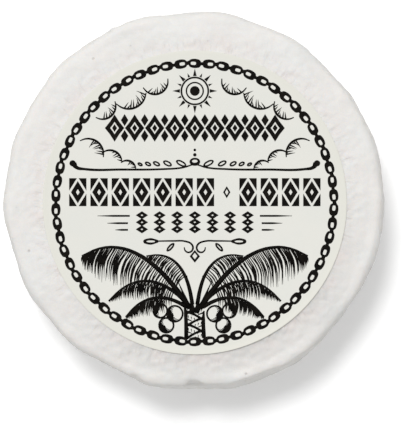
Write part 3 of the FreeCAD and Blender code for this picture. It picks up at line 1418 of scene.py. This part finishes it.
def bump(tree, shader, place, height, depth):
    """Feeds a height from 0 to 1 into the shader's normal. Depth is in millimetres."""
    node = add_node(tree, "ShaderNodeBump", place)
    node.inputs["Strength"].default_value = 1
    node.inputs["Distance"].default_value = depth * MM
    tree.links.new(height, node.inputs["Height"])
    tree.links.new(node.outputs[0], shader.inputs["Normal"])

# %% [markdown]
# Soap is white but never pure white: coconut soap dries to a faint pink cream where it is
# handled. Its steep faces are painted a cooler grey the more they turn from upright, which is
# painted shade. The blade also drags fine marks down the flanks, and beside the label the side
# away from the lamps is painted greyer, as painted shade. Each of these is a mask that mixes in
# one more tone, the broad ones first. Light sinks into soap a little before it comes back,
# which subsurface scattering does, and which softens every small pit.

# %% The soap
DRAG_WIDTH = 1.2 * MM
DRAG_LENGTH = 11 * MM

SOAP_TONES = {
    "cool": (0.825, 0.82, 0.80),
    "cream": (0.85, 0.83, 0.805),
    "pink": (0.82, 0.76, 0.735),
    # This tone is painted shade: it darkens the steep faces the more they turn from upright.
    "cut": (0.7, 0.69, 0.66),
    # This tone is painted shade on the side beside the label that faces away from the lamps.
    "painted_shade": (0.7, 0.695, 0.675),
    "drag": (0.62, 0.605, 0.58),
    "streak": (0.55, 0.51, 0.48),
    "pore": (0.45, 0.41, 0.38),
    "powder": (0.69, 0.675, 0.655),
}


def knife_masks(tree):
    """Two masks: the steep faces, which get painted shade, and the marks the knife dragged down
    them.
    """
    facing = add_node(tree, "ShaderNodeTexCoord", (-1100, 700))
    upwards = add_node(tree, "ShaderNodeSeparateXYZ", (-940, 700))
    tree.links.new(facing.outputs["Normal"], upwards.inputs[0])
    flank = smooth_range(tree, (-780, 700), upwards.outputs["Z"], 0.96, 0.2)
    along_the_cut = add_node(tree, "ShaderNodeMapping", (-940, 900))
    along_the_cut.inputs["Rotation"].default_value = (0.12, 0.1, 0)
    along_the_cut.inputs["Scale"].default_value = (1 / DRAG_WIDTH, 1 / DRAG_WIDTH, 1 / DRAG_LENGTH)
    noise = add_node(tree, "ShaderNodeTexNoise", (-780, 900))
    set_noise(noise, detail=4, roughness=0.6)
    tree.links.new(facing.outputs["Object"], along_the_cut.inputs["Vector"])
    tree.links.new(along_the_cut.outputs[0], noise.inputs["Vector"])
    drag = smooth_range(tree, (-620, 900), noise.outputs[0], 0.5, 0.72)
    return flank, maths(tree, (-460, 900), "MULTIPLY", drag, flank)


def masks_beside_label(tree):
    """Three masks that fade out from the label: pink blush, torn streaks and painted shade."""
    blush = effect(tree, SOFT_PATCHES, (-900, 300), Size=3.5, Shift=11.0, Low=0.4, High=0.7)
    ring = effect(tree, FROM_LABEL, (-900, 100), Start=25.2, End=29.0, Streak_width=0.55)
    near = ring.outputs["Nearness"]
    streaks = smooth_range(tree, (-680, 60), ring.outputs["Streaks"], 0.52, 0.74)
    pink = maths(tree, (-680, 260), "MULTIPLY", blush.outputs["Mask"], near)
    torn = maths(tree, (-520, 60), "MULTIPLY", streaks, near)
    painted_shade = maths(tree, (-680, 160), "MULTIPLY", ring.outputs["Painted shade side"], near)
    return pink, torn, painted_shade


def soap_material():
    material, tree, shader = new_material("white_soap")
    tones = effect(tree, SOFT_PATCHES, (-900, 500), Size=7.0, Shift=3.0, Low=0.42, High=0.58)
    pores = effect(tree, SPECKS, (-900, -150), Size=2.1, Radius=0.13, Share=0.1)
    grain = effect(tree, FINE_GRAIN, (-900, -350), Size=1.1, Fine_share=0.4)
    powder = between(tree, (-680, -350), grain.outputs["Height"], -1.0, 2.2)
    flank, drag = knife_masks(tree)
    pink, torn, painted_shade = masks_beside_label(tree)
    layers = [
        # The first two layers are painted shade: on the steep faces, and on the side beside the
        # label that faces away from the lamps.
        ("cut", flank, 0.7),
        ("painted_shade", painted_shade, 0.8),
        ("drag", drag, 0.22),
        ("pink", pink, 0.75),
        ("streak", torn, 0.3),
        ("pore", pores.outputs["Mask"], 0.4),
        ("powder", powder, 0.22),
    ]
    cool, cream = SOAP_TONES["cool"], SOAP_TONES["cream"]
    colour = mix_colours(tree, (-300, 500), tones.outputs["Mask"], cool, cream)
    for step, (tone, mask, share) in enumerate(layers):
        place = (-120 + 180 * step, 500)
        colour = mix_colours(tree, place, mask, colour, SOAP_TONES[tone], share)
    tree.links.new(colour, shader.inputs["Base Color"])
    set_roughness(tree, shader, (-300, -60), tones.outputs["Mask"], 0.5, 0.66)
    height = maths(tree, (-420, -360), "MULTIPLY_ADD", torn, -0.4, grain.outputs["Height"])
    height = maths(tree, (-340, -520), "SUBTRACT", height, drag)
    height = maths(tree, (-260, -360), "SUBTRACT", height, pores.outputs["Mask"])
    bump(tree, shader, (-100, -360), height, 0.09)
    shader.inputs["Specular IOR Level"].default_value = 0.3
    shader.inputs["Subsurface Weight"].default_value = 0.25
    shader.inputs["Subsurface Radius"].default_value = (1, 0.85, 0.7)
    shader.inputs["Subsurface Scale"].default_value = 0.9 * MM
    return material


soap.data.materials.append(soap_material())
print("soap material:", len(soap.data.materials[0].node_tree.nodes), "nodes")

# %% [markdown]
# The label is uncoated paper of a faint green white. It has yellowed a little towards its
# cut edge, where it drinks from the soap. Its fibres show as a very fine grain.

# %% The paper
FIBRE_TONE = (0.6, 0.6, 0.55)


def paper_material():
    material, tree, shader = new_material("uncoated_paper")
    sheet, warm, aged = (0.80, 0.80, 0.75), (0.82, 0.81, 0.755), (0.80, 0.79, 0.71)
    tones = effect(tree, SOFT_PATCHES, (-800, 400), Size=4.0, Shift=5.0, Low=0.35, High=0.65)
    rim = effect(tree, FROM_LABEL, (-800, 200), Start=22.5, End=24.8, Streak_width=1.2)
    fibres = effect(tree, FINE_GRAIN, (-800, 0), Size=0.35, Fine_share=0.5)
    cut_edge = maths(tree, (-620, 220), "SUBTRACT", 1, rim.outputs["Nearness"])
    colour = mix_colours(tree, (-400, 400), tones.outputs["Mask"], sheet, warm, 0.7)
    colour = mix_colours(tree, (-200, 300), cut_edge, colour, aged, 0.6)
    colour = mix_colours(tree, (0, 200), fibres.outputs["Height"], colour, FIBRE_TONE, 0.1)
    tree.links.new(colour, shader.inputs["Base Color"])
    set_roughness(tree, shader, (-200, 0), fibres.outputs["Height"], 0.6, 0.8)
    bump(tree, shader, (-200, -200), fibres.outputs["Height"], 0.012)
    shader.inputs["Specular IOR Level"].default_value = 0.25
    return material


paper.data.materials.append(paper_material())

# %% [markdown]
# The ink is a dense matt black. Where the press left less of it, the black is a touch
# browner and thinner, which only shows close up.

# %% The ink
def ink_material():
    material, tree, shader = new_material("matt_black_ink")
    coverage = effect(tree, SOFT_PATCHES, (-700, 300), Size=1.2, Shift=2.0, Low=0.35, High=0.75)
    grain = effect(tree, FINE_GRAIN, (-700, 0), Size=0.3, Fine_share=0.5)
    full, thin = (0.0032, 0.0026, 0.002), (0.009, 0.007, 0.005)
    colour = mix_colours(tree, (-300, 300), coverage.outputs["Mask"], full, thin)
    tree.links.new(colour, shader.inputs["Base Color"])
    set_roughness(tree, shader, (-300, 0), grain.outputs["Height"], 0.6, 0.85)
    bump(tree, shader, (-300, -200), grain.outputs["Height"], 0.004)
    shader.inputs["Specular IOR Level"].default_value = 0.08
    return material


black_ink = ink_material()
for piece in print_pieces:
    piece.data.materials.append(black_ink)
print("inked pieces:", [piece.name for piece in print_pieces])

# %% [markdown]
# The adhesive is a thin yellowish film, seen only as a hair line under the paper's edge. Its
# shape is right as the CAD made it, so it only gets a material.

# %% The adhesive
def adhesive_material():
    material, tree, shader = new_material("dried_adhesive")
    tones = effect(tree, SOFT_PATCHES, (-700, 300), Size=2.0, Shift=8.0, Low=0.4, High=0.6)
    grain = effect(tree, FINE_GRAIN, (-700, 0), Size=0.5, Fine_share=0.2)
    dark, light = (0.62, 0.58, 0.45), (0.7, 0.66, 0.54)
    colour = mix_colours(tree, (-300, 300), tones.outputs["Mask"], dark, light)
    tree.links.new(colour, shader.inputs["Base Color"])
    set_roughness(tree, shader, (-300, 0), grain.outputs["Height"], 0.25, 0.45)
    bump(tree, shader, (-300, -200), grain.outputs["Height"], 0.01)
    return material


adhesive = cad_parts["label_adhesive"]
adhesive.data.materials.clear()
adhesive.data.materials.append(adhesive_material())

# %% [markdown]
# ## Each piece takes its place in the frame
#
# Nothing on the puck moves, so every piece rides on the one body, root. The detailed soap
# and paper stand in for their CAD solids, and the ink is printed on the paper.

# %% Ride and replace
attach(soap, "root")
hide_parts("soap_puck")
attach(paper, "root")
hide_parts("label_paper")
for piece in print_pieces:
    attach(piece, "root")

# %% [markdown]
# ## The table
#
# The puck lies on a white light table. Its top glows a little, so it stays pure white except
# where the puck keeps the lamps off it. A plain white floor would need much stronger lamps to
# look this white, and they would wash out the soap. The table is a stage, not part of the
# object.

# %% The light table
TABLE_WIDTH = 1.6
TABLE_GLOW = 0.27


def light_table():
    pick_nothing()
    bpy.ops.mesh.primitive_plane_add(size=TABLE_WIDTH, location=(0, 0, 0))
    table = bpy.context.object
    table.name = "light_table"
    material, tree, shader = new_material("white_acrylic")
    tones = effect(tree, SOFT_PATCHES, (-700, 300), Size=60.0, Shift=1.0, Low=0.3, High=0.7)
    dull, bright = (0.88, 0.88, 0.88), (0.9, 0.9, 0.9)
    colour = mix_colours(tree, (-300, 300), tones.outputs["Mask"], dull, bright)
    tree.links.new(colour, shader.inputs["Base Color"])
    shader.inputs["Roughness"].default_value = 0.8
    shader.inputs["Specular IOR Level"].default_value = 0.1
    shader.inputs["Emission Color"].default_value = (1, 1, 1, 1)
    shader.inputs["Emission Strength"].default_value = TABLE_GLOW
    table.data.materials.append(material)


light_table()

# %% [markdown]
# ## The lights
#
# Two suns stand to the upper left. The key light is fairly narrow and high, and draws the
# shadow's edge close to the puck. The broad light is as wide as a large softbox and lower, and
# gives the shadow its long soft fringe. One lamp can't do both. A dim even sky fills in the
# rest. To the camera alone it looks white, so that a low view has no grey strip behind the
# table.

# %% The key light, the broad light and the sky
# Each lamp: its name, the bearing its light travels to, how far it travels sideways for each
# millimetre down, its width in degrees, and its strength.
LAMPS = [
    ("key_light", 293, 0.325, 12, 1.5),
    ("broad_light", 302, 0.5, 45, 0.72),
]
SKY_STRENGTH = 0.33


def soft_sun(name, bearing, slope, width, strength):
    """A sun whose light travels to a bearing and down. The wider it is, the softer its shadow."""
    pick_nothing()
    bpy.ops.object.light_add(type="SUN", location=(-0.1, 0.2, 0.6))
    lamp = bpy.context.object
    lamp.name = name
    lamp.data.energy = strength
    lamp.data.angle = math.radians(width)
    turn = math.radians(bearing)
    travel = Vector((slope * math.cos(turn), slope * math.sin(turn), -1))
    lamp.rotation_euler = travel.to_track_quat("-Z", "Y").to_euler()


def even_sky():
    """A dim sky that fills in the shadows, behind a backdrop that looks white."""
    sky = bpy.data.worlds.new("studio")
    sky.use_nodes = True
    background = sky.node_tree.nodes["Background"]
    background.inputs["Color"].default_value = (1, 1, 1, 1)
    rays = add_node(sky.node_tree, "ShaderNodeLightPath", (-500, 300))
    strength = between(sky.node_tree, (-300, 300), rays.outputs["Is Camera Ray"], SKY_STRENGTH, 1)
    sky.node_tree.links.new(strength, background.inputs["Strength"])
    bpy.context.scene.world = sky


for lamp_values in LAMPS:
    soft_sun(*lamp_values)
even_sky()
bpy.context.scene.view_settings.view_transform = "Standard"

# %% [markdown]
# ## The camera
#
# The camera looks straight down from a metre away, which is far enough for the puck's side to
# stay nearly hidden. Its lens follows from the width that it has to take in at the label's
# height, so the two numbers can't disagree.

# %% The camera
VIEW_WIDTH = 66.95
VIEW_CENTRE = (1.55, -1.98)
CAMERA_HEIGHT = 1.0


def camera_above():
    """Looks straight down and takes in VIEW_WIDTH millimetres at the label's height."""
    pick_nothing()
    x, y = VIEW_CENTRE
    place = (x * MM, y * MM, CAMERA_HEIGHT + SOAP_HEIGHT * MM)
    bpy.ops.object.camera_add(location=place, rotation=(0, 0, 0))
    camera = bpy.context.object
    camera.name = "camera_above"
    camera.data.sensor_fit = "HORIZONTAL"
    camera.data.lens = camera.data.sensor_width * CAMERA_HEIGHT / (VIEW_WIDTH * MM)
    camera.data.clip_end = 10
    bpy.context.scene.camera = camera


camera_above()
